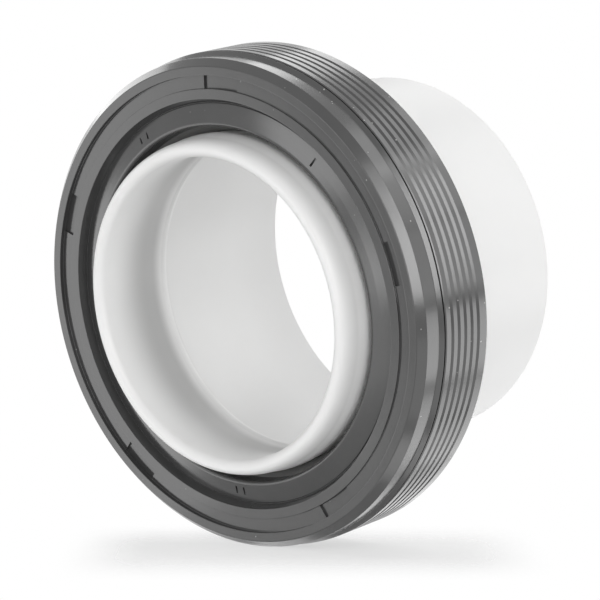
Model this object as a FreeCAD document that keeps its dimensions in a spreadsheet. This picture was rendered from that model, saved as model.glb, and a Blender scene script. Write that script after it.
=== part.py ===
import FreeCAD, Part
import math
import os
import Sketcher

# A rubber-covered radial shaft seal with a formed low-friction lip, carried on its plastic mounting sleeve.
# The axis is +Z. The sleeve stands on its rear end at Z = 0, and the seal's leading face looks up.

doc = FreeCAD.newDocument("ShaftSeal")
sheet = doc.addObject("Spreadsheet::Sheet", "Sizes")

# Driving dimensions in millimetres, angles in degrees
SIZES = {
    # Main sizes: shaft, radial height of the seal's section, width, and the sleeve before and behind it
    "ShaftDia": 42.0,
    "RadialSection": 10.0,
    "SealWidth": 12.0,
    "FrontReach": 2.6,
    "RearReach": 22.9,
    # Outside of the rubber body, as insets from the outside diameter and depths below the front rim
    "FrontEdgeInset": 1.4,
    "FrontEdgeRound": 0.3,
    "LeadInDepth": 0.95,
    "LandInset": 0.52,
    "ShoulderDepth": 2.65,
    "ShoulderLength": 0.45,
    "RearChamfer": 0.3,
    "FirstGrooveDepth": 3.87,
    "GroovePitch": 1.24,
    "GrooveCut": 0.25,
    "GrooveMouth": 0.54,
    "GrooveFloor": 0.06,
    "RearBand": 1.7,
    # Front face of the rubber body
    "RimInset": 2.5,
    "ChannelWidth": 1.7,
    "ChannelDepth": 0.55,
    "InnerLandDrop": 0.3,
    "InnerLandWidth": 1.24,
    "StepDepth": 1.0,
    "StepTaper": 0.5,
    "NoseShelf": 0.46,
    "NoseTipDepth": 0.62,
    "NoseRound": 0.3,
    "MouthGap": 1.4,
    # Support pockets in the channel's floor, left by the mould's pins that hold the steel case
    "PocketCount": 5,
    "PocketWidth": 5.3,
    "PocketDepth": 0.58,
    # Steel case and the rubber round it
    "CaseThickness": 0.8,
    "CaseBend": 0.3,
    "CoverThickness": 1.4,
    "FlangeDepth": 1.85,
    "FlangeInset": 2.0,
    "RearCover": 0.8,
    "LiningThickness": 0.7,
    "LiningRound": 0.6,
    "LiningChamfer": 0.4,
    "BondShelf": 1.4,
    # Formed lip
    "LipThickness": 0.8,
    "LipBend": 2.55,
    "LipReach": 4.2,
    # Mounting sleeve
    "MouthWall": 2.0,
    "MouthInset": 0.15,
    "MouthLead": 3.0,
    "FrontWall": 0.9,
    "MouthLength": 1.7,
    "MouthTaper": 2.6,
    "FlareGap": 0.85,
    "FlareRise": 2.25,
    "RearWall": 0.95,
    "RearRound": 0.5,
}

for row, (alias, number) in enumerate(SIZES.items(), start=1):
    sheet.set(f"A{row}", alias)
    sheet.set(f"B{row}", str(number))
    sheet.setAlias(f"B{row}", alias)
doc.recompute()


def size(name):
    return f"Sizes.{name}"


def depth(*names):
    """Height of a level that lies below the seal's front rim by the named sizes."""
    return " - ".join(["Sizes.RearReach + Sizes.SealWidth"] + [size(name) for name in names])


def inset(*names):
    """Radius of a wall that lies inside the seal's outside diameter by the named sizes."""
    return " - ".join(["Sizes.ShaftDia / 2 + Sizes.RadialSection"] + [size(name) for name in names])


def outset(*names):
    """Radius of a wall that lies outside the shaft's surface by the named sizes."""
    return " + ".join(["Sizes.ShaftDia / 2"] + [size(name) for name in names])


def origin_plane(body, role):
    return [plane for plane in body.Origin.OriginFeatures if plane.Role == role][0]


def attached_sketch(body, name, role):
    sketch = body.newObject("Sketcher::SketchObject", name)
    sketch.AttachmentSupport = [(origin_plane(body, role), "")]
    sketch.MapMode = "FlatFace"
    return sketch


def place_point(sketch, edge, end, across, up):
    """Tie one end of an edge to its distances from the sketch's origin."""
    for kind, expression in (("DistanceX", across), ("DistanceY", up)):
        value = float(sketch.evalExpression(expression))
        index = sketch.addConstraint(Sketcher.Constraint(kind, -1, 1, edge, end, value))
        sketch.setExpression(f"Constraints[{index}]", expression)


def arc_edge(start, finish, radius, turn):
    """Arc from start to finish whose centre lies left (turn +1) or right (turn -1) of the way there."""
    chord = finish - start
    middle = (start + finish) / 2
    rise = math.sqrt(max(radius ** 2 - (chord.Length / 2) ** 2, 0.0))
    side = FreeCAD.Vector(-chord.y, chord.x, 0).normalize() * (rise * turn)
    centre = middle + side
    first, last = (start, finish) if turn > 0 else (finish, start)
    from_angle = math.atan2(first.y - centre.y, first.x - centre.x)
    to_angle = math.atan2(last.y - centre.y, last.x - centre.x)
    if to_angle <= from_angle:
        to_angle += 2 * math.pi
    circle = Part.Circle(centre, FreeCAD.Vector(0, 0, 1), radius)
    return Part.ArcOfCircle(circle, from_angle, to_angle)


def profile(body, name, outline):
    """Closed section on the XZ plane. Each corner is (radius, height) and runs straight to the next one,
    or (radius, height, arc radius, turn) and runs there along an arc."""
    sketch = attached_sketch(body, name, "XZ_Plane")
    points = [
        FreeCAD.Vector(float(sketch.evalExpression(corner[0])), float(sketch.evalExpression(corner[1])), 0)
        for corner in outline
    ]
    ends = []
    for number, corner in enumerate(outline):
        start = points[number]
        finish = points[(number + 1) % len(points)]
        if len(corner) == 2:
            sketch.addGeometry(Part.LineSegment(start, finish), False)
            ends.append((1, 2))
        else:
            radius = float(sketch.evalExpression(corner[2]))
            sketch.addGeometry(arc_edge(start, finish, radius, corner[3]), False)
            ends.append((1, 2) if corner[3] > 0 else (2, 1))
    for number, corner in enumerate(outline):
        following = (number + 1) % len(outline)
        sketch.addConstraint(
            Sketcher.Constraint("Coincident", number, ends[number][1], following, ends[following][0]))
        place_point(sketch, number, ends[number][0], corner[0], corner[1])
        if len(corner) > 2:
            radius = float(sketch.evalExpression(corner[2]))
            index = sketch.addConstraint(Sketcher.Constraint("Radius", number, radius))
            sketch.setExpression(f"Constraints[{index}]", corner[2])
    return sketch


def turned_body(label, outline):
    """Body revolved about +Z from one closed section."""
    body = doc.addObject("PartDesign::Body", label)
    body.Label = label
    section = profile(body, label + "_section", outline)
    turning = body.newObject("PartDesign::Revolution", label + "_turning")
    turning.Profile = section
    turning.ReferenceAxis = (section, ["V_Axis"])
    turning.Angle = 360
    section.Visibility = False
    return body


def volume_after(body, feature):
    body.Tip = feature
    doc.recompute()
    return body.Shape.Volume


# Stiffening case: a pressed steel ring of L section, moulded into the rubber. Its flange stiffens the
# leading face and its wall holds the outside diameter in the housing bore.
CASE_OUTER = inset("CoverThickness")
CASE_INNER = inset("CoverThickness", "CaseThickness")
CASE_BEND_CENTRE = inset("CoverThickness", "CaseThickness", "CaseBend")
CASE_FRONT = depth("FlangeDepth")
CASE_BACK = depth("FlangeDepth", "CaseThickness")
CASE_BEND_LEVEL = depth("FlangeDepth", "CaseThickness", "CaseBend")
CASE_REAR = "Sizes.RearReach + Sizes.RearCover"
FLANGE_INNER = outset("MouthGap", "FlangeInset")
CASE_OUTER_BEND = "Sizes.CaseBend + Sizes.CaseThickness"

stiffening_case = turned_body("stiffening_case", [
    (FLANGE_INNER, CASE_BACK),
    (CASE_BEND_CENTRE, CASE_BACK, size("CaseBend"), -1),
    (CASE_INNER, CASE_BEND_LEVEL),
    (CASE_INNER, CASE_REAR),
    (CASE_OUTER, CASE_REAR),
    (CASE_OUTER, CASE_BEND_LEVEL, CASE_OUTER_BEND, 1),
    (CASE_BEND_CENTRE, CASE_FRONT),
    (FLANGE_INNER, CASE_FRONT),
])

# Sealing lip: a low-friction disc bonded behind the case's flange, whose inner part is bent rearwards by
# the sleeve and lies on it as a short tube.
LINING_INNER = inset("CoverThickness", "CaseThickness", "LiningThickness")
LIP_RIM = inset("CoverThickness", "CaseThickness", "LiningThickness", "BondShelf")
LIP_BEND_RADIUS = outset("LipBend")
LIP_BACK = depth("FlangeDepth", "CaseThickness", "LipThickness")
LIP_TUBE_START = depth("FlangeDepth", "CaseThickness", "LipBend")
LIP_END = depth("FlangeDepth", "CaseThickness", "LipBend", "LipReach")
LIP_TUBE_OUTER = outset("LipThickness")
LIP_BACK_BEND = "Sizes.LipBend - Sizes.LipThickness"

sealing_lip = turned_body("sealing_lip", [
    (LIP_RIM, LIP_BACK),
    (LIP_RIM, CASE_BACK),
    (LIP_BEND_RADIUS, CASE_BACK, size("LipBend"), 1),
    (outset(), LIP_TUBE_START),
    (outset(), LIP_END),
    (LIP_TUBE_OUTER, LIP_END),
    (LIP_TUBE_OUTER, LIP_TUBE_START, LIP_BACK_BEND, -1),
    (LIP_BEND_RADIUS, LIP_BACK),
])

# Rubber body: moulded in one piece round the case. Its section starts at the front rim, runs down the
# ribbed outside, round the rear edge, along the lining and the steel, and back over the nose.
OUTER = inset()
FRONT = depth()
REAR = size("RearReach")
MOUTH = outset("MouthGap")
NOSE_ON_LIP = ("Sizes.RearReach + Sizes.SealWidth - Sizes.FlangeDepth - Sizes.CaseThickness - Sizes.LipBend"
               " + sqrt(Sizes.LipBend ^ 2 - (Sizes.LipBend - Sizes.MouthGap) ^ 2)")

seal_body = turned_body("seal_body", [
    (inset("RimInset"), FRONT),
    (inset("FrontEdgeInset", "FrontEdgeRound"), FRONT, size("FrontEdgeRound"), -1),
    (inset("FrontEdgeInset"), depth("FrontEdgeRound")),
    (inset("LandInset"), depth("LeadInDepth")),
    (inset("LandInset"), depth("ShoulderDepth")),
    (OUTER, depth("ShoulderDepth", "ShoulderLength")),
    (OUTER, "Sizes.RearReach + Sizes.RearChamfer"),
    (inset("RearChamfer"), REAR),
    (LINING_INNER + " + Sizes.LiningChamfer", REAR),
    (LINING_INNER, "Sizes.RearReach + Sizes.LiningChamfer"),
    (LINING_INNER, LIP_BACK + " - Sizes.LiningRound", size("LiningRound"), 1),
    (LINING_INNER + " - Sizes.LiningRound", LIP_BACK),
    (LIP_RIM, LIP_BACK),
    (LIP_RIM, CASE_BACK),
    (CASE_BEND_CENTRE, CASE_BACK, size("CaseBend"), -1),
    (CASE_INNER, CASE_BEND_LEVEL),
    (CASE_INNER, CASE_REAR),
    (CASE_OUTER, CASE_REAR),
    (CASE_OUTER, CASE_BEND_LEVEL, CASE_OUTER_BEND, 1),
    (CASE_BEND_CENTRE, CASE_FRONT),
    (FLANGE_INNER, CASE_FRONT),
    (FLANGE_INNER, CASE_BACK),
    (LIP_BEND_RADIUS, CASE_BACK, size("LipBend"), 1),
    (MOUTH, NOSE_ON_LIP),
    (MOUTH, depth("NoseTipDepth", "NoseRound"), size("NoseRound"), -1),
    (outset("MouthGap", "NoseRound"), depth("NoseTipDepth")),
    (inset("RimInset", "ChannelWidth", "InnerLandWidth", "StepTaper", "NoseShelf"),
     depth("InnerLandDrop", "StepDepth")),
    (inset("RimInset", "ChannelWidth", "InnerLandWidth", "StepTaper"), depth("InnerLandDrop", "StepDepth")),
    (inset("RimInset", "ChannelWidth", "InnerLandWidth"), depth("InnerLandDrop")),
    (inset("RimInset", "ChannelWidth"), depth("InnerLandDrop")),
    (inset("RimInset", "ChannelWidth"), depth("ChannelDepth")),
    (inset("RimInset"), depth("ChannelDepth")),
])

# Grooves round the outside, which leave the sealing ribs between them
doc.recompute()
plain_volume = seal_body.Shape.Volume
groove_section = profile(seal_body, "groove_section", [
    (OUTER + " + Sizes.GrooveCut", depth("FirstGrooveDepth") + " + Sizes.GrooveMouth / 2"),
    (OUTER, depth("FirstGrooveDepth") + " + Sizes.GrooveMouth / 2"),
    (inset("GrooveCut"), depth("FirstGrooveDepth") + " + Sizes.GrooveFloor / 2"),
    (inset("GrooveCut"), depth("FirstGrooveDepth") + " - Sizes.GrooveFloor / 2"),
    (OUTER, depth("FirstGrooveDepth") + " - Sizes.GrooveMouth / 2"),
    (OUTER + " + Sizes.GrooveCut", depth("FirstGrooveDepth") + " - Sizes.GrooveMouth / 2"),
])
groove = seal_body.newObject("PartDesign::Groove", "first_groove")
groove.Profile = groove_section
groove.ReferenceAxis = (groove_section, ["V_Axis"])
groove.Angle = 360
groove_section.Visibility = False
one_groove_volume = volume_after(seal_body, groove)
if not one_groove_volume < plain_volume:
    raise RuntimeError("the first groove cuts nothing")

GROOVE_STEPS = ("floor((Sizes.SealWidth - Sizes.FirstGrooveDepth - Sizes.RearBand)"
                " / Sizes.GroovePitch)")
grooves = seal_body.newObject("PartDesign::LinearPattern", "grooves")
grooves.Originals = [groove]
grooves.Direction = (groove_section, ["V_Axis"])
grooves.Reversed = True
grooves.setExpression("Length", f"{GROOVE_STEPS} * Sizes.GroovePitch")
grooves.setExpression("Occurrences", f"{GROOVE_STEPS} + 1")
ribbed_volume = volume_after(seal_body, grooves)
if not ribbed_volume < one_groove_volume:
    raise RuntimeError("the groove pattern cuts nothing")

# Support pockets, evenly spaced, each as wide as the channel whose floor it deepens
pocket_outline = attached_sketch(seal_body, "pocket_outline", "XY_Plane")
pocket_outline.setExpression("AttachmentOffset.Base.z", depth("ChannelDepth"))
inner_arc = inset("RimInset", "ChannelWidth")
outer_arc = inset("RimInset")
half_width = size("PocketWidth") + " / 2"
centre = FreeCAD.Vector(0, 0, 0)
reach = float(pocket_outline.evalExpression(half_width))
arc_ends = []
for radius_text in (inner_arc, outer_arc):
    radius = float(pocket_outline.evalExpression(radius_text))
    swing = math.asin(reach / radius)
    circle = Part.Circle(centre, FreeCAD.Vector(0, 0, 1), radius)
    arc = Part.ArcOfCircle(circle, 1.5 * math.pi - swing, 1.5 * math.pi + swing)
    pocket_outline.addGeometry(arc, False)
    arc_ends.append((arc.StartPoint, arc.EndPoint))
pocket_outline.addGeometry(Part.LineSegment(arc_ends[0][0], arc_ends[1][0]), False)
pocket_outline.addGeometry(Part.LineSegment(arc_ends[0][1], arc_ends[1][1]), False)
for arc_number, radius_text in enumerate((inner_arc, outer_arc)):
    pocket_outline.addConstraint(Sketcher.Constraint("Coincident", arc_number, 3, -1, 1))
    radius = float(pocket_outline.evalExpression(radius_text))
    index = pocket_outline.addConstraint(Sketcher.Constraint("Radius", arc_number, radius))
    pocket_outline.setExpression(f"Constraints[{index}]", radius_text)
for side_edge, arc_end in ((2, 1), (3, 2)):
    pocket_outline.addConstraint(Sketcher.Constraint("Coincident", side_edge, 1, 0, arc_end))
    pocket_outline.addConstraint(Sketcher.Constraint("Coincident", side_edge, 2, 1, arc_end))
    pocket_outline.addConstraint(Sketcher.Constraint("Vertical", side_edge))
for side_edge, first, second in ((2, (2, 1), (-1, 1)), (3, (-1, 1), (3, 1))):
    index = pocket_outline.addConstraint(Sketcher.Constraint("DistanceX", *first, *second, reach))
    pocket_outline.setExpression(f"Constraints[{index}]", half_width)

pocket = seal_body.newObject("PartDesign::Pocket", "first_pocket")
pocket.Profile = pocket_outline
pocket.setExpression("Length", size("PocketDepth"))
pocket_outline.Visibility = False
one_pocket_volume = volume_after(seal_body, pocket)
if not one_pocket_volume < ribbed_volume:
    raise RuntimeError("the first pocket cuts nothing")

pockets = seal_body.newObject("PartDesign::PolarPattern", "pockets")
pockets.Originals = [pocket]
pockets.Axis = (pocket_outline, ["N_Axis"])
pockets.Angle = 360
pockets.setExpression("Occurrences", size("PocketCount"))
if not volume_after(seal_body, pockets) < one_pocket_volume:
    raise RuntimeError("the pocket pattern cuts nothing")

# Mounting sleeve: a thin plastic tube with a full-round bead at its mouth. It carries the lip on its front
# part, then flares to a wider rear part that is held by hand or in the press tool.
SLEEVE_TOP = depth() + " + Sizes.FrontReach"
BEAD_RADIUS = "Sizes.MouthWall / 2"
BEAD_OUTER = "Sizes.ShaftDia / 2 - Sizes.MouthInset"
BEAD_CENTRE = BEAD_OUTER + " - Sizes.MouthWall / 2"
BEAD_LEVEL = SLEEVE_TOP + " - Sizes.MouthWall / 2"
MOUTH_BORE = BEAD_OUTER + " - Sizes.MouthWall"
FRONT_BORE = "Sizes.ShaftDia / 2 - Sizes.FrontWall"
FLARE_TOP = LIP_END + " - Sizes.FlareGap"
SLEEVE_REAR_OUTER = outset("FlareRise")
SLEEVE_REAR_BORE = outset("FlareRise") + " - Sizes.RearWall"
# The inside of the flare runs parallel to its outside, one rear wall away
INNER_FLARE_TOP = FLARE_TOP + " + Sizes.RearWall * sqrt(2) - Sizes.FrontWall"
INNER_FLARE_FOOT = FLARE_TOP + " - Sizes.FlareRise + Sizes.RearWall * (sqrt(2) - 1)"

mounting_sleeve = turned_body("mounting_sleeve", [
    (MOUTH_BORE, BEAD_LEVEL, BEAD_RADIUS, -1),
    (BEAD_CENTRE, SLEEVE_TOP, BEAD_RADIUS, -1),
    (BEAD_OUTER, BEAD_LEVEL),
    (outset(), BEAD_LEVEL + " - Sizes.MouthLead"),
    (outset(), FLARE_TOP),
    (SLEEVE_REAR_OUTER, FLARE_TOP + " - Sizes.FlareRise"),
    (SLEEVE_REAR_OUTER, size("RearRound"), size("RearRound"), -1),
    (SLEEVE_REAR_OUTER + " - Sizes.RearRound", "0"),
    (SLEEVE_REAR_BORE, "0"),
    (SLEEVE_REAR_BORE, INNER_FLARE_FOOT),
    (FRONT_BORE, INNER_FLARE_TOP),
    (FRONT_BORE, SLEEVE_TOP + " - Sizes.MouthLength - Sizes.MouthTaper"),
    (MOUTH_BORE, SLEEVE_TOP + " - Sizes.MouthLength"),
])

doc.recompute()
for thing in doc.Objects:
    if "Invalid" in thing.State or "Error" in thing.State:
        raise RuntimeError(f"{thing.Name} did not build: {thing.State}")

nodes = [seal_body, stiffening_case, sealing_lip, mounting_sleeve]
for node in nodes:
    if node.Shape.isNull() or not node.Shape.isValid():
        raise RuntimeError(f"{node.Label} is not a valid solid")

os.makedirs("parts", exist_ok=True)
for node in nodes:
    node.Shape.exportStep(f"parts/{node.Label}.step")
    print(node.Label, round(node.Shape.Volume, 1), "mm3", len(node.Shape.Solids), "solid")
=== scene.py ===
import math

import bmesh
import bpy
from mathutils import Matrix, Vector


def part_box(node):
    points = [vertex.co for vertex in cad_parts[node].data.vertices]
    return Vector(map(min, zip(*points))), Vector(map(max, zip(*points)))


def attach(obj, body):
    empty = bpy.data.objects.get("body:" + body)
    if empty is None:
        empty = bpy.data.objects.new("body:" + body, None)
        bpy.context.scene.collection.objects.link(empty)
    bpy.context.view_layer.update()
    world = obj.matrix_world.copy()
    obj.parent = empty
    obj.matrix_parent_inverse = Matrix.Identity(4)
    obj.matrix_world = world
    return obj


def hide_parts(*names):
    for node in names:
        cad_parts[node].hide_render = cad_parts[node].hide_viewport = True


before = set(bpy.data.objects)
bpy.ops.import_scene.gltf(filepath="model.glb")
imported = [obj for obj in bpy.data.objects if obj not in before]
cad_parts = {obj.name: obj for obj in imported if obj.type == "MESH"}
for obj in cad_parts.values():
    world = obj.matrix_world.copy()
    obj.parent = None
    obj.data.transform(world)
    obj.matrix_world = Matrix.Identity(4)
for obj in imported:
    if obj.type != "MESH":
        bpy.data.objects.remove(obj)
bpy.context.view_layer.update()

# Camera and light. The camera looks at the leading face from 47 degrees above it, rolled so that the seal's
# axis lies almost level. The background is white. Soft boxes stand all round the seal, the strongest of them
# in front.
mm = 0.001
white = (1, 1, 1, 1)
picture_size = 600
view_right = Vector((-0.266617, -0.712779, -0.648740))
view_up = Vector((0.963509, -0.180593, -0.197570))
view_back = view_right.cross(view_up).normalized()
view_turn = Matrix((view_right, view_up, view_back)).transposed().to_4x4()
camera_place = Vector((7.07, -254.98, 298.23)) * mm
seal_centre = Vector((0, 0, 28.0)) * mm
lamp_distance = 0.8

camera_lens = bpy.data.cameras.new("photo_camera")
camera_lens.sensor_width = 36
camera_lens.lens = 180
camera_lens.clip_start = 0.02
camera_lens.clip_end = 20
camera = bpy.data.objects.new("photo_camera", camera_lens)
camera.matrix_world = Matrix.Translation(camera_place) @ view_turn
bpy.context.scene.collection.objects.link(camera)
bpy.context.scene.camera = camera
bpy.context.scene.view_settings.view_transform = "Standard"


def put(tree, kind, settings=None, values=None):
    """Adds a node, sets its properties, and gives its inputs plain values or links."""
    node = tree.nodes.new(kind)
    for key, value in (settings or {}).items():
        setattr(node, key, value)
    for key, value in (values or {}).items():
        if isinstance(value, bpy.types.NodeSocket):
            tree.links.new(value, node.inputs[key])
        else:
            node.inputs[key].default_value = value
    return node


def maths(tree, operation, first, second=0.0, third=0.0):
    """Result of one Math node."""
    return put(tree, "ShaderNodeMath", {"operation": operation}, {0: first, 1: second, 2: third}).outputs[0]


sky = bpy.data.worlds.new("white_studio")
sky.use_nodes = True
sky_tree = sky.node_tree
sky_tree.nodes.clear()
sky_ray = put(sky_tree, "ShaderNodeLightPath").outputs
sky_shown = maths(sky_tree, "MAXIMUM", sky_ray["Is Camera Ray"], maths(
    sky_tree, "MAXIMUM", sky_ray["Is Glossy Ray"], sky_ray["Is Transmission Ray"]))
sky_light = put(sky_tree, "ShaderNodeBackground", None, {"Color": white, "Strength": 0.27})
sky_white = put(sky_tree, "ShaderNodeBackground", None, {"Color": white, "Strength": 1.0})
sky_mix = put(sky_tree, "ShaderNodeMixShader", None, {
    0: sky_shown, 1: sky_light.outputs[0], 2: sky_white.outputs[0]})
put(sky_tree, "ShaderNodeOutputWorld", None, {"Surface": sky_mix.outputs[0]})
bpy.context.scene.world = sky


def soft_box(name, turn, rise, width, height, level):
    """Rectangular lamp, turn degrees right of the camera as seen from the seal, and rise degrees above."""
    turn, rise = math.radians(turn), math.radians(rise)
    lamp = bpy.data.lights.new(name, "AREA")
    lamp.shape = "RECTANGLE"
    lamp.size = lamp_distance * math.radians(width)
    lamp.size_y = lamp_distance * math.radians(height)
    lamp.energy = math.pi * lamp.size * lamp.size_y * level
    away = view_right * (math.cos(rise) * math.sin(turn)) + view_up * math.sin(rise)
    away += view_back * (math.cos(rise) * math.cos(turn))
    side = view_up.cross(away).normalized()
    facing = Matrix((side, away.cross(side), away)).transposed().to_4x4()
    holder = bpy.data.objects.new(name, lamp)
    holder.matrix_world = Matrix.Translation(seal_centre + away * lamp_distance) @ facing
    bpy.context.scene.collection.objects.link(holder)


soft_box("front_box", 13, 8, 12, 44, 5.8)
soft_box("front_side_box", 27, 6, 14, 40, 1.3)
soft_box("front_left_box", -2, 2, 14, 40, 1.8)
soft_box("front_high_box", 2, 27, 14, 14, 2.2)
soft_box("front_low_box", 22, -40, 18, 30, 0.6)
soft_box("axis_box", -42, -8, 22, 22, 3.0)
soft_box("left_box", -60, 6, 24, 18, 2.4)
soft_box("left_low_box", -62, -22, 24, 22, 0.7)
soft_box("far_left_box", -101.5, -15.5, 34, 33, 1.45)
soft_box("left_back_box", -142, 22, 24, 34, 2.4)
soft_box("right_box", 70, 28, 20, 36, 2.6)
soft_box("roof_box", 50, 68, 50, 20, 1.1)
soft_box("right_rim_box", 100, 12, 16, 22, 0.9)
soft_box("right_high_box", 102, 34, 15, 20, 1.1)
soft_box("right_low_box", 105, -12, 20, 19, 2.1)
soft_box("right_foot_box", 128, -28, 28, 12, 1.45)
soft_box("right_back_box", 156, -25, 24, 12, 1.1)
soft_box("top_box", 118, 47, 30, 12, 1.2)
soft_box("top_back_box", 170, 43, 30, 14, 2.0)
soft_box("low_back_box", 178, -50, 50, 20, 2.0)
soft_box("low_box", 8, -72, 50, 18, 1.6)

# Stiffening case: a ring of L section, pressed from 0.8 mm steel sheet and moulded into the rubber, which
# covers it on all sides. It is phosphated so that the rubber bonds to it.
grain = bpy.data.node_groups.new("fine_grain", "ShaderNodeTree")
grain.interface.new_socket("Vector", in_out="INPUT", socket_type="NodeSocketVector")
grain.interface.new_socket("Coarse", in_out="INPUT", socket_type="NodeSocketFloat")
grain.interface.new_socket("Fine", in_out="INPUT", socket_type="NodeSocketFloat")
grain.interface.new_socket("Cloud", in_out="OUTPUT", socket_type="NodeSocketFloat")
grain.interface.new_socket("Height", in_out="OUTPUT", socket_type="NodeSocketFloat")
grain_given = put(grain, "NodeGroupInput").outputs
grain_cloud = put(grain, "ShaderNodeTexNoise", None, {
    "Vector": grain_given["Vector"], "Scale": grain_given["Coarse"], "Detail": 4.0, "Roughness": 0.6})
grain_height = put(grain, "ShaderNodeTexNoise", None, {
    "Vector": grain_given["Vector"], "Scale": grain_given["Fine"], "Detail": 3.0, "Roughness": 0.55})
put(grain, "NodeGroupOutput", None, {
    "Cloud": grain_cloud.outputs["Fac"], "Height": grain_height.outputs["Fac"]})


def grained(name, coarse, fine, shades, roughness, relief):
    """Material with two clouded shades, a cloudy sheen and a fine relief of the given strength and depth.

    Hands back the material, its tree, its shader, the place on the piece and the clouded shade.
    """
    finish = bpy.data.materials.new(name)
    finish.use_nodes = True
    tree = finish.node_tree
    shader = tree.nodes["Principled BSDF"]
    place = put(tree, "ShaderNodeTexCoord").outputs["Object"]
    surface = put(tree, "ShaderNodeGroup", {"node_tree": grain}, {
        "Vector": place, "Coarse": coarse, "Fine": fine}).outputs
    shade = put(tree, "ShaderNodeMixRGB", None, {
        "Fac": surface["Cloud"], "Color1": shades[0], "Color2": shades[1]}).outputs["Color"]
    sheen = put(tree, "ShaderNodeMapRange", None, {
        "Value": surface["Cloud"], "To Min": roughness[0], "To Max": roughness[1]})
    bumps = put(tree, "ShaderNodeBump", None, {
        "Strength": relief[0], "Distance": relief[1], "Height": surface["Height"]})
    tree.links.new(shade, shader.inputs["Base Color"])
    tree.links.new(sheen.outputs["Result"], shader.inputs["Roughness"])
    tree.links.new(bumps.outputs["Normal"], shader.inputs["Normal"])
    return finish, tree, shader, place, shade


phosphated, tree, shader, place, shade = grained(
    "phosphated_steel", 900.0, 6000.0, ((0.10, 0.10, 0.105, 1), (0.26, 0.26, 0.27, 1)), (0.42, 0.62),
    (0.4, 0.02 * mm))
shader.inputs["Metallic"].default_value = 0.85

case_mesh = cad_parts["stiffening_case"].data
case_mesh.materials.clear()
case_mesh.materials.append(phosphated)

# Rubber body: one moulding round the case, with lead-in bevels, a grooved outside that grips the housing, a
# channel with five support pockets in its leading face, and a soft nose that keeps dust off the lip. The
# mould leaves five small marks on the nose.
def packed_radius(node):
    """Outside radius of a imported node, in millimetres."""
    return round(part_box(node)[1].x / mm, 3)


def packed_depths(node):
    """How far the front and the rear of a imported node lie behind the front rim, in millimetres."""
    low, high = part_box(node)
    return round(front_rim - high.z / mm, 3), round(front_rim - low.z / mm, 3)


front_rim = round(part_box("seal_body")[1].z / mm, 3)
wall_radius = packed_radius("seal_body")
rear_face = packed_depths("seal_body")[1]
case_radius = packed_radius("stiffening_case")
case_thickness = 0.8
case_inner = case_radius - case_thickness
case_front, case_end = packed_depths("stiffening_case")
lip_outer = packed_radius("sealing_lip")
lip_thickness = 0.8
lip_front, lip_end = packed_depths("sealing_lip")
lip_back = lip_front + lip_thickness

groove_first = 5.11
groove_pitch = 1.24
groove_count = 5
groove_mouth = 0.56
groove_depth = 0.25
groove_steps = (-0.38, -0.28, -0.24, -0.03, 0.0, 0.03, 0.24, 0.28, 0.38)

bevels = [
    (28.50, 0.0, 0.05), (29.60, 0.0, 0.22), (30.47, 0.95, 0.05), (30.50, 3.14, 0.04), (30.92, 3.60, 0.02)]
raked_slit = [
    (30.92, 3.63, 0.0), (30.34, 4.20, 0.0), (30.34, 4.40, 0.0), (30.88, 3.90, 0.0), (wall_radius, 4.03, 0.0),
    (wall_radius, 4.11, 0.0)]
grooved_wall = [
    (wall_radius, groove_first + groove_pitch * groove + step, 0.0)
    for groove in range(groove_count) for step in groove_steps]
rear_and_lining = [
    (wall_radius, rear_face - 0.30, 0.08), (wall_radius - 0.30, rear_face, 0.08), (28.50, rear_face, 0.15),
    (28.10, rear_face - 0.40, 0.15), (28.10, lip_back, 0.60), (lip_outer, lip_back, 0.0),
    (lip_outer, lip_front, 0.0)]
case_seat = [
    (case_inner, lip_front, 0.30), (case_inner, case_end, 0.0), (case_radius, case_end, 0.0),
    (case_radius, case_front, 1.10), (24.40, case_front, 0.0), (24.40, lip_front, 0.0)]
nose = [
    (23.55, lip_front, 0.0), (22.95, 2.721, 0.0), (22.40, 2.924, 0.0), (22.17, 3.05, 0.0),
    (22.17, 0.56, 0.42), (23.60, 0.90, 1.60), (24.92, 1.24, 0.12), (25.06, 1.38, 0.03)]
step_and_channel = [
    (25.56, 0.30, 0.05), (26.80, 0.30, 0.04), (26.80, 0.55, 0.04), (28.50, 0.55, 0.05)]

pocket_count = 5
pocket_width = 5.3
pocket_inner = 26.81
pocket_outer = 28.49
pocket_top = 0.40
pocket_floor = 0.84
mark_top = 0.50
mark_floor = 1.12
# Each mark has its turn in degrees, its middle radius, its width and its length.
nose_marks = (
    (104.9, 23.7, 0.26, 0.9), (108.1, 23.7, 0.26, 0.9), (36.0, 23.7, 0.30, 1.2), (251.4, 23.6, 0.26, 1.0),
    (254.4, 23.6, 0.26, 1.0))


def softened(outline):
    """Section points of an outline of (radius, depth behind the front rim, rounding), in millimetres.

    A point close beside each rounding keeps a long flat from being shaded into it.
    """
    small_rounding = 0.1
    most_of_edge = 0.48
    long_edge = 0.3
    beside = 0.03
    points = []
    for number, (radius, depth, rounding) in enumerate(outline):
        here = Vector((radius, depth))
        before = Vector(outline[number - 1][:2]) - here
        after = Vector(outline[(number + 1) % len(outline)][:2]) - here
        if rounding == 0:
            points.append(here)
            continue
        half = before.angle(after) / 2
        reach = min(rounding / math.tan(half), most_of_edge * before.length, most_of_edge * after.length)
        start = here + before.normalized() * reach
        finish = here + after.normalized() * reach
        steps = 3 if rounding < small_rounding else 6
        if before.length > long_edge:
            points.append(here + before.normalized() * (reach + beside))
        for step in range(steps + 1):
            share = step / steps
            points.append(start * (1 - share) ** 2 + here * (2 * share * (1 - share)) + finish * share ** 2)
        if after.length > long_edge:
            points.append(here + after.normalized() * (reach + beside))
    return points


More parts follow.
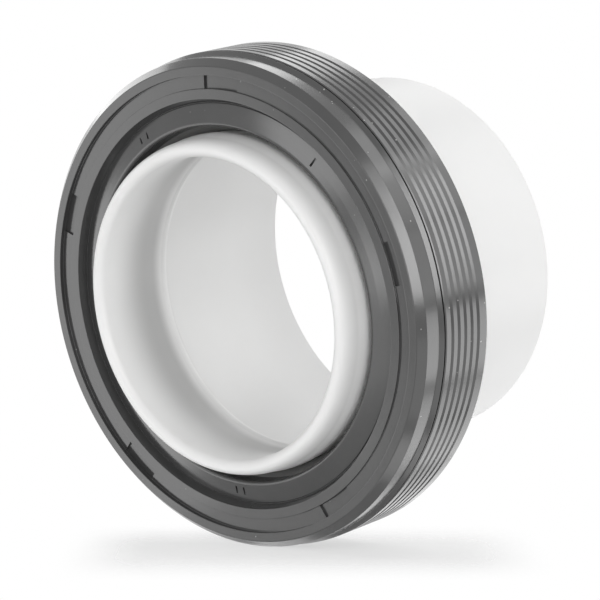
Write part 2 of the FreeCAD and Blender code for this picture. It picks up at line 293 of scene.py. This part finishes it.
def section_object(name, points):
    """Closed line of section points in the XZ plane, radius along X and height along Z."""
    line = bpy.data.meshes.new(name)
    corners = [(point.x * mm, 0, (front_rim - point.y) * mm) for point in points]
    line.from_pydata(corners, [(number, (number + 1) % len(corners)) for number in range(len(corners))], [])
    piece = bpy.data.objects.new(name, line)
    bpy.context.scene.collection.objects.link(piece)
    return piece


def tree_start(name, inputs):
    """New geometry tree with named inputs. Hands back the tree and its inputs."""
    tree = bpy.data.node_groups.new(name, "GeometryNodeTree")
    tree.interface.new_socket("Geometry", in_out="INPUT", socket_type="NodeSocketGeometry")
    for label, kind in inputs:
        tree.interface.new_socket(label, in_out="INPUT", socket_type="NodeSocket" + kind)
    tree.interface.new_socket("Finish", in_out="INPUT", socket_type="NodeSocketMaterial")
    tree.interface.new_socket("Geometry", in_out="OUTPUT", socket_type="NodeSocketGeometry")
    return tree, put(tree, "NodeGroupInput").outputs


def tree_end(tree, shape, finish):
    """Ends a geometry tree with a plain mesh in its finish."""
    plain = put(tree, "GeometryNodeRealizeInstances", None, {0: shape})
    painted = put(tree, "GeometryNodeSetMaterial", None, {"Geometry": plain.outputs[0], "Material": finish})
    put(tree, "NodeGroupOutput", None, {0: painted.outputs[0]})


def whole(tree, operation, first, second):
    """Result of one Integer Math node."""
    return put(tree, "FunctionNodeIntegerMath", {"operation": operation}, {0: first, 1: second}).outputs[0]


def parts_of(tree, vector):
    """X, Y and Z of a vector."""
    return put(tree, "ShaderNodeSeparateXYZ", None, {"Vector": vector}).outputs


def joined(tree, x, y, z):
    """Vector of X, Y and Z."""
    return put(tree, "ShaderNodeCombineXYZ", None, {"X": x, "Y": y, "Z": z}).outputs[0]


def moved(tree, shape, position):
    """Geometry with its points set to a position."""
    return put(tree, "GeometryNodeSetPosition", None, {"Geometry": shape, "Position": position}).outputs[0]


def add_tree(piece, tree, values):
    """Puts a geometry tree on a piece with its inputs set by their identifiers."""
    modifier = piece.modifiers.new(tree.name, "NODES")
    modifier.node_group = tree
    for item in tree.interface.items_tree:
        if item.item_type == "SOCKET" and item.in_out == "INPUT" and item.name in values:
            modifier[item.identifier] = values[item.name]


# Turns a section into a closed ring round the axis.
turning, given = tree_start("turning", [("Steps", "Int")])
corner_count = put(turning, "GeometryNodeAttributeDomainSize", {"component": "MESH"}, {
    "Geometry": given["Geometry"]}).outputs["Point Count"]
columns = whole(turning, "ADD", given["Steps"], 1)
skin = put(turning, "GeometryNodeMeshGrid", None, {
    "Vertices X": whole(turning, "ADD", corner_count, 1), "Vertices Y": columns})
skin_point = put(turning, "GeometryNodeInputIndex").outputs[0]
row = whole(turning, "MODULO", whole(turning, "DIVIDE_FLOOR", skin_point, columns), corner_count)
column = whole(turning, "MODULO", whole(turning, "MODULO", skin_point, columns), given["Steps"])
section_point = put(turning, "GeometryNodeSampleIndex", {"data_type": "FLOAT_VECTOR", "domain": "POINT"}, {
    "Geometry": given["Geometry"], "Index": row,
    "Value": put(turning, "GeometryNodeInputPosition").outputs[0]}).outputs["Value"]
section = parts_of(turning, section_point)
swing = maths(turning, "MULTIPLY", maths(turning, "DIVIDE", column, given["Steps"]), math.tau)
turned = moved(turning, skin.outputs["Mesh"], joined(
    turning, maths(turning, "MULTIPLY", section["X"], maths(turning, "COSINE", swing)),
    maths(turning, "MULTIPLY", section["X"], maths(turning, "SINE", swing)), section["Z"]))
closed = put(turning, "GeometryNodeMergeByDistance", None, {"Geometry": turned, "Distance": 0.001 * mm})
tree_end(turning, closed.outputs[0], given["Finish"])

# Presses V grooves into the outside wall, one pitch apart.
grooving, given = tree_start("grooving", [
    ("Wall radius", "Float"), ("First level", "Float"), ("Pitch", "Float"), ("Count", "Int"),
    ("Mouth", "Float"), ("Depth", "Float")])
wall_margin = 0.01 * mm
spot = parts_of(grooving, put(grooving, "GeometryNodeInputPosition").outputs[0])
spot_radius = maths(grooving, "SQRT", maths(
    grooving, "ADD", maths(grooving, "MULTIPLY", spot["X"], spot["X"]),
    maths(grooving, "MULTIPLY", spot["Y"], spot["Y"])))
pitches_down = maths(grooving, "DIVIDE", maths(
    grooving, "SUBTRACT", given["First level"], spot["Z"]), given["Pitch"])
nearest = maths(grooving, "MAXIMUM", 0.0, maths(grooving, "MINIMUM", maths(
    grooving, "ROUND", pitches_down), maths(grooving, "SUBTRACT", given["Count"], 1.0)))
from_groove = maths(grooving, "MULTIPLY", given["Pitch"], maths(
    grooving, "ABSOLUTE", maths(grooving, "SUBTRACT", pitches_down, nearest)))
bite = maths(grooving, "MAXIMUM", 0.0, maths(grooving, "SUBTRACT", 1.0, maths(
    grooving, "DIVIDE", from_groove, maths(grooving, "MULTIPLY", given["Mouth"], 0.5))))
on_wall = maths(grooving, "GREATER_THAN", spot_radius, maths(
    grooving, "SUBTRACT", given["Wall radius"], wall_margin))
shrink = maths(grooving, "SUBTRACT", 1.0, maths(grooving, "DIVIDE", maths(
    grooving, "MULTIPLY", maths(grooving, "MULTIPLY", bite, on_wall), given["Depth"]), spot_radius))
grooved = moved(grooving, given["Geometry"], joined(
    grooving, maths(grooving, "MULTIPLY", spot["X"], shrink),
    maths(grooving, "MULTIPLY", spot["Y"], shrink), spot["Z"]))
tree_end(grooving, grooved, given["Finish"])

# Cuts short pockets that are bent round the axis, as the pins of the mould leave them.
pocketing, given = tree_start("pocketing", [
    ("Count", "Int"), ("Width", "Float"), ("Inner radius", "Float"), ("Outer radius", "Float"),
    ("Top", "Float"), ("Bottom", "Float"), ("Turn", "Float")])
block = put(pocketing, "GeometryNodeMeshCube", None, {
    "Size": joined(
        pocketing, given["Width"], maths(pocketing, "SUBTRACT", given["Outer radius"], given["Inner radius"]),
        maths(pocketing, "SUBTRACT", given["Top"], given["Bottom"])),
    "Vertices X": 9})
block_spot = parts_of(pocketing, put(pocketing, "GeometryNodeInputPosition").outputs[0])
middle_radius = maths(pocketing, "DIVIDE", maths(
    pocketing, "ADD", given["Outer radius"], given["Inner radius"]), 2.0)
middle_level = maths(pocketing, "DIVIDE", maths(pocketing, "ADD", given["Top"], given["Bottom"]), 2.0)
block_radius = maths(pocketing, "SUBTRACT", middle_radius, block_spot["Y"])
block_reach = maths(pocketing, "SQRT", maths(
    pocketing, "SUBTRACT", maths(pocketing, "MULTIPLY", block_radius, block_radius),
    maths(pocketing, "MULTIPLY", block_spot["X"], block_spot["X"])))
bent_block = moved(pocketing, block.outputs["Mesh"], joined(
    pocketing, block_spot["X"], maths(pocketing, "MULTIPLY", block_reach, -1.0),
    maths(pocketing, "ADD", block_spot["Z"], middle_level)))
pin_points = put(pocketing, "GeometryNodePoints", None, {"Count": given["Count"]})
pin_number = put(pocketing, "GeometryNodeInputIndex").outputs[0]
pin_turn = maths(pocketing, "ADD", given["Turn"], maths(pocketing, "MULTIPLY", maths(
    pocketing, "DIVIDE", pin_number, given["Count"]), math.tau))
pins = put(pocketing, "GeometryNodeInstanceOnPoints", None, {
    "Points": pin_points.outputs[0], "Instance": bent_block,
    "Rotation": put(pocketing, "FunctionNodeEulerToRotation", None, {
        0: joined(pocketing, 0.0, 0.0, pin_turn)}).outputs[0]})
pin_solids = put(pocketing, "GeometryNodeRealizeInstances", None, {0: pins.outputs[0]})
pocketed = put(pocketing, "GeometryNodeMeshBoolean", {"operation": "DIFFERENCE", "solver": "EXACT"}, {
    "Mesh 1": given["Geometry"], "Mesh 2": pin_solids.outputs[0]})
tree_end(pocketing, pocketed.outputs[0], given["Finish"])


def baked(piece, sharp_angle):
    """Turns a piece's geometry trees into a plain closed mesh, smooth but for its sharp edges."""
    depsgraph = bpy.context.evaluated_depsgraph_get()
    ready = bpy.data.meshes.new_from_object(piece.evaluated_get(depsgraph))
    ready.name = piece.name
    piece.modifiers.clear()
    line = piece.data
    piece.data = ready
    bpy.data.meshes.remove(line)
    form = bmesh.new()
    form.from_mesh(ready)
    bmesh.ops.recalc_face_normals(form, faces=form.faces)
    form.to_mesh(ready)
    form.free()
    ready.shade_smooth()
    ready.set_sharp_from_angle(angle=math.radians(sharp_angle))


def axis_distance(tree, place):
    """How far a place on a turned piece is from the seal's axis."""
    level_place = put(tree, "ShaderNodeVectorMath", {"operation": "MULTIPLY"}, {0: place, 1: (1, 1, 0)})
    return put(tree, "ShaderNodeVectorMath", {"operation": "LENGTH"}, {
        0: level_place.outputs["Vector"]}).outputs["Value"]


rubber, tree, shader, place, shade = grained(
    "moulded_rubber", 160.0, 9000.0, ((0.032, 0.032, 0.032, 1), (0.048, 0.048, 0.048, 1)), (0.12, 0.20),
    (0.25, 0.01 * mm))
shader.inputs["Specular IOR Level"].default_value = 0.75
specks = put(tree, "ShaderNodeTexVoronoi", {"feature": "F1"}, {"Vector": place, "Scale": 700.0})
speck_spot = put(tree, "ShaderNodeMapRange", None, {
    "Value": specks.outputs["Distance"], "From Min": 0.05, "From Max": 0.09, "To Min": 1.0, "To Max": 0.0})
speck_chosen = maths(tree, "GREATER_THAN", specks.outputs["Color"], 0.62)
outer_share = put(tree, "ShaderNodeMapRange", None, {
    "Value": axis_distance(tree, place), "From Min": 28.0 * mm, "From Max": 30.0 * mm,
    "To Min": 0.12, "To Max": 0.8})
speck = maths(tree, "MULTIPLY", outer_share.outputs["Result"], maths(
    tree, "MULTIPLY", speck_spot.outputs["Result"], speck_chosen))
dusty = put(tree, "ShaderNodeMixRGB", None, {"Fac": speck, "Color1": shade, "Color2": (0.42, 0.42, 0.41, 1)})
tree.links.new(dusty.outputs["Color"], shader.inputs["Base Color"])

rubber_piece = section_object("rubber_ring", softened(
    bevels + raked_slit + grooved_wall + rear_and_lining + case_seat + nose + step_and_channel))
add_tree(rubber_piece, turning, {"Steps": 288, "Finish": rubber})
add_tree(rubber_piece, grooving, {
    "Wall radius": wall_radius * mm, "First level": (front_rim - groove_first) * mm,
    "Pitch": groove_pitch * mm, "Count": groove_count, "Mouth": groove_mouth * mm,
    "Depth": groove_depth * mm, "Finish": rubber})
add_tree(rubber_piece, pocketing, {
    "Count": pocket_count, "Width": pocket_width * mm, "Inner radius": pocket_inner * mm,
    "Outer radius": pocket_outer * mm, "Top": (front_rim - pocket_top) * mm,
    "Bottom": (front_rim - pocket_floor) * mm, "Turn": 0.0, "Finish": rubber})
for turn, middle, across, along in nose_marks:
    add_tree(rubber_piece, pocketing, {
        "Count": 1, "Width": across * mm, "Inner radius": (middle - along / 2) * mm,
        "Outer radius": (middle + along / 2) * mm, "Top": (front_rim - mark_top) * mm,
        "Bottom": (front_rim - mark_floor) * mm, "Turn": math.radians(turn), "Finish": rubber})
baked(rubber_piece, sharp_angle=32)
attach(rubber_piece, "root")
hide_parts("seal_body")

# Sealing lip: a disc skived from a filled low-friction polymer and bonded behind the case's flange. Its inner
# part is bent rearwards and lies on the sleeve. The tool leaves fine rings on its front.
contact_radius = 21.0
lip_chamfer_width = 0.08
lip_chamfer_length = 0.10
bend_outside = 2.55
bend_inside = bend_outside - lip_thickness
bend_centre = Vector((contact_radius + bend_outside, lip_front + bend_outside))
skiving_depth = 0.02


def bend_point(reach, degrees):
    """Point of the lip's bend, reach from its centre, from the flat disc at 0 to the sleeve at 90 degrees."""
    bend = math.radians(degrees)
    return bend_centre - Vector((math.sin(bend), math.cos(bend))) * reach


lip_points = [Vector(corner) for corner in (
    (lip_outer, lip_back), (lip_outer, lip_front), (25.0, lip_front), (24.2, lip_front))]
for step in range(49):
    ring_mark = skiving_depth * abs(math.sin(math.pi * step / 6)) if 4 < step < 46 else 0.0
    lip_points.append(bend_point(bend_outside - ring_mark, 90 * step / 48))
lip_points += [Vector(corner) for corner in (
    (contact_radius, 7.0), (contact_radius, lip_end - lip_chamfer_length),
    (contact_radius + lip_chamfer_width, lip_end),
    (contact_radius + lip_thickness - lip_chamfer_width, lip_end),
    (contact_radius + lip_thickness, lip_end - lip_chamfer_length))]
lip_points += [bend_point(bend_inside, 90 - 90 * step / 12) for step in range(13)]

lip_polymer, tree, shader, place, shade = grained(
    "filled_lip_polymer", 500.0, 7000.0, ((0.15, 0.15, 0.148, 1), (0.20, 0.20, 0.197, 1)), (0.36, 0.50),
    (0.3, 0.01 * mm))

lip_piece = section_object("formed_lip", lip_points)
add_tree(lip_piece, turning, {"Steps": 240, "Finish": lip_polymer})
baked(lip_piece, sharp_angle=40)
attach(lip_piece, "root")
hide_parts("sealing_lip")

# Mounting sleeve: a thin tube moulded in white plastic, with a rounded mouth that leads the lip on, a front
# part of the shaft's diameter that keeps the lip open, and a flare to a wider rear part that is held by hand.
sleeve_front, sleeve_rear = packed_depths("mounting_sleeve")
grip_radius = packed_radius("mounting_sleeve")
grip_bore = 22.30
crown_radius = 19.85
mouth_start = -0.10
mouth_wall = 1.10
mouth_length = mouth_start - sleeve_front
bore_rounding = 1.0
bore_start = sleeve_front + bore_rounding
bore_length = 11.2
bore_widening = 1.25
tube_outline = [
    (20.10, 9.90, 0.3), (19.92, 10.35, 0.15), (19.95, 10.70, 0.3), (grip_bore, 12.90, 0.8),
    (grip_bore, sleeve_rear, 0.08), (grip_radius, sleeve_rear, 0.45), (grip_radius, 12.50, 0.8),
    (contact_radius, 10.25, 0.3), (contact_radius, 3.60, 0.4), (21.22, 2.60, 0.5), (21.22, 1.90, 0.5),
    (20.97, 0.10, 0.6), (crown_radius + mouth_wall, mouth_start, 0.0)]

sleeve_points = softened(tube_outline)
for step in range(1, 21):
    bend = math.radians(90 * step / 20)
    sleeve_points.append(Vector((
        crown_radius + mouth_wall * math.cos(bend), mouth_start - mouth_length * math.sin(bend))))
for step in range(1, 8):
    bend = math.radians(90 * step / 8)
    sleeve_points.append(Vector((
        crown_radius - bore_rounding * math.sin(bend), bore_start - bore_rounding * math.cos(bend))))
for step in range(24):
    share = step / 24
    widening = bore_widening * share ** 3 * (4 - 3 * share)
    sleeve_points.append(Vector((
        crown_radius - bore_rounding + widening, bore_start + bore_length * share)))

# Painted shade: the plastic's colour is made greyer inside the bore where the dark seal stands round the thin
# wall, and faintly greyer beyond it in the rear bore.
white_plastic, tree, shader, place, shade = grained(
    "white_sleeve_plastic", 90.0, 5000.0, ((0.83, 0.83, 0.825, 1), (0.87, 0.87, 0.865, 1)), (0.34, 0.46),
    (0.12, 0.01 * mm))
shader.inputs["Subsurface Weight"].default_value = 0.4
shader.inputs["Subsurface Radius"].default_value = (1.0, 1.0, 1.0)
shader.inputs["Subsurface Scale"].default_value = 2.5 * mm
place_radius = axis_distance(tree, place)
place_level = parts_of(tree, place)["Z"]
behind_mouth = put(tree, "ShaderNodeMapRange", {"interpolation_type": "SMOOTHSTEP"}, {
    "Value": place_level, "From Min": (front_rim + 1.6) * mm, "From Max": (front_rim - 6.5) * mm})
before_flare = put(tree, "ShaderNodeMapRange", {"interpolation_type": "SMOOTHSTEP"}, {
    "Value": place_level, "From Min": (front_rim - 10.9) * mm, "From Max": (front_rim - 8.0) * mm})
in_bore = maths(tree, "LESS_THAN", place_radius, 20.4 * mm)
# Painted shade: the darker band inside the bore, between the mouth and the flare.
painted_shade_length = maths(tree, "MULTIPLY", behind_mouth.outputs["Result"], before_flare.outputs["Result"])
painted_bore_shade = maths(tree, "MULTIPLY", maths(tree, "MULTIPLY", painted_shade_length, in_bore), 0.56)
# Painted shade: a faint darkening of the rear bore that fades out towards its rear end.
in_rear_bore = maths(tree, "COMPARE", place_radius, 22.1 * mm, 0.5 * mm)
rear_shade_fade = put(tree, "ShaderNodeMapRange", None, {
    "Value": place_level, "From Min": (front_rim - 26.0) * mm, "From Max": (front_rim - 12.5) * mm,
    "To Min": 0.0, "To Max": 0.11})
painted_rear_shade = maths(tree, "MULTIPLY", in_rear_bore, rear_shade_fade.outputs["Result"])
# Painted shade: mixes dark grey into the plastic's colour where the bore is shaded.
shaded = put(tree, "ShaderNodeMixRGB", None, {
    "Fac": maths(tree, "MAXIMUM", painted_bore_shade, painted_rear_shade), "Color1": shade, "Color2": (0.10, 0.10, 0.10, 1)})
tree.links.new(shaded.outputs["Color"], shader.inputs["Base Color"])

sleeve_piece = section_object("carrier_sleeve", sleeve_points)
add_tree(sleeve_piece, turning, {"Steps": 240, "Finish": white_plastic})
baked(sleeve_piece, sharp_angle=40)
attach(sleeve_piece, "root")
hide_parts("mounting_sleeve")

# Floor: a pale sheet just below the seal as the picture shows it, which keeps only the seal's soft shadow.
# It fades out to the white background, and is clear from behind.
floor_lean = math.radians(3.5)
floor_normal = view_up * math.cos(floor_lean) + view_back * math.sin(floor_lean)
floor_side = view_right
floor_depth = floor_side.cross(floor_normal).normalized()
floor_half = (30 * mm, 24 * mm)
shadow_column = 305
shadow_row = 551
shadow_distance = 366 * mm
shadow_cover = 0.4
pixel = shadow_distance * camera_lens.sensor_width / camera_lens.lens / picture_size
shadow_middle = camera_place - view_back * shadow_distance
shadow_middle += view_right * ((shadow_column - picture_size / 2) * pixel)
shadow_middle += view_up * ((picture_size / 2 - shadow_row) * pixel)

floor_mesh = bpy.data.meshes.new("pale_floor")
floor_mesh.from_pydata([
    shadow_middle + floor_side * (floor_half[0] * across) - floor_depth * (floor_half[1] * along)
    for across, along in ((-1, -1), (1, -1), (1, 1), (-1, 1))], [], [(0, 1, 2, 3)])
floor = bpy.data.objects.new("pale_floor", floor_mesh)
bpy.context.scene.collection.objects.link(floor)

pale = bpy.data.materials.new("pale_floor")
pale.use_nodes = True
tree = pale.node_tree
shader = tree.nodes["Principled BSDF"]
shader.inputs["Base Color"].default_value = (0.9, 0.9, 0.9, 1)
shader.inputs["Roughness"].default_value = 1.0
shader.inputs["Specular IOR Level"].default_value = 0.0
from_middle = put(tree, "ShaderNodeVectorMath", {"operation": "SUBTRACT"}, {
    0: put(tree, "ShaderNodeTexCoord").outputs["Object"], 1: shadow_middle})
fades = []
for direction, inner in ((floor_side / floor_half[0], 0.62), (floor_depth / floor_half[1], 0.15)):
    share = put(tree, "ShaderNodeVectorMath", {"operation": "DOT_PRODUCT"}, {
        0: from_middle.outputs["Vector"], 1: direction})
    fades.append(put(tree, "ShaderNodeMapRange", {"interpolation_type": "SMOOTHSTEP"}, {
        "Value": maths(tree, "ABSOLUTE", share.outputs["Value"]), "From Min": inner, "From Max": 1.0,
        "To Min": 1.0, "To Max": 0.0}))
shown = maths(tree, "MULTIPLY", fades[0].outputs["Result"], fades[1].outputs["Result"])
from_front = maths(tree, "SUBTRACT", 1.0, put(tree, "ShaderNodeNewGeometry").outputs["Backfacing"])
cover = maths(tree, "MULTIPLY", maths(tree, "MULTIPLY", shown, shadow_cover), from_front)
clear = put(tree, "ShaderNodeBsdfTransparent")
mixing = put(tree, "ShaderNodeMixShader", None, {0: cover, 1: clear.outputs[0], 2: shader.outputs[0]})
tree.links.new(mixing.outputs[0], tree.nodes["Material Output"].inputs["Surface"])
floor_mesh.materials.append(pale)
